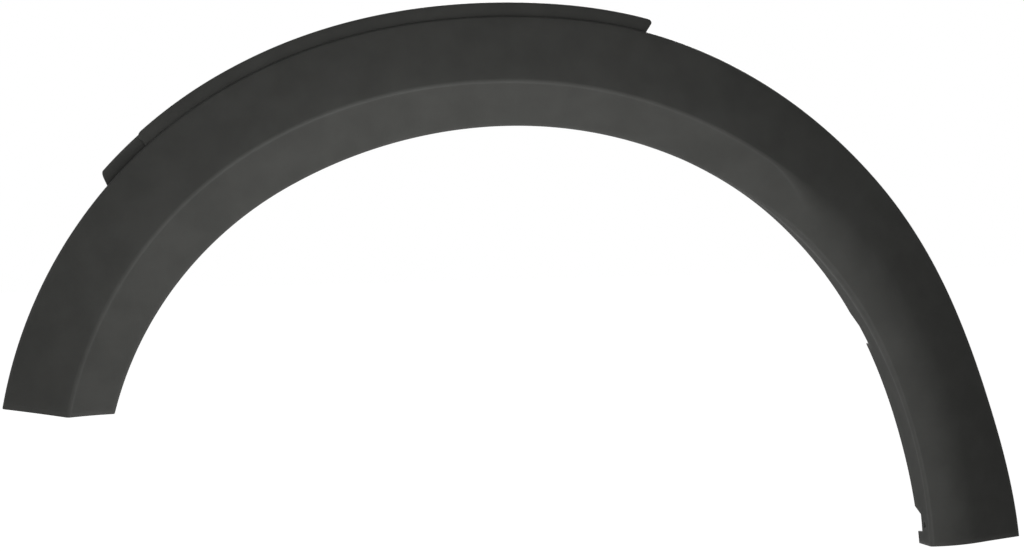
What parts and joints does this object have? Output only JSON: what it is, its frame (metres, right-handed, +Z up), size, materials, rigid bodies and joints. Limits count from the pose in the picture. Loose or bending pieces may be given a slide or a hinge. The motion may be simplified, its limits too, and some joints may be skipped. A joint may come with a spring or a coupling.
{
  "type": "wheel arch trim",
  "caption": "Arched moulded plastic trim that edges a car's wheel opening, with a creased face, a ledge along the top and fixing towers behind.",
  "frame": {"origin": "foot of the main locating pin, on top of the crown's fixing tower, in the plane of the wing panel", "axes": "+Z up as on the car, +Y into the car body so that the face looks along -Y, +X along the trim towards the longer leg"},
  "size_m": [0.9365, 0.0742, 0.5071],
  "materials": {
    "black_plastic": "fine-grained matte black polypropylene"
  },
  "bodies": {
    "root": {"arch_trim": "black_plastic"}
  },
  "joints": []
}
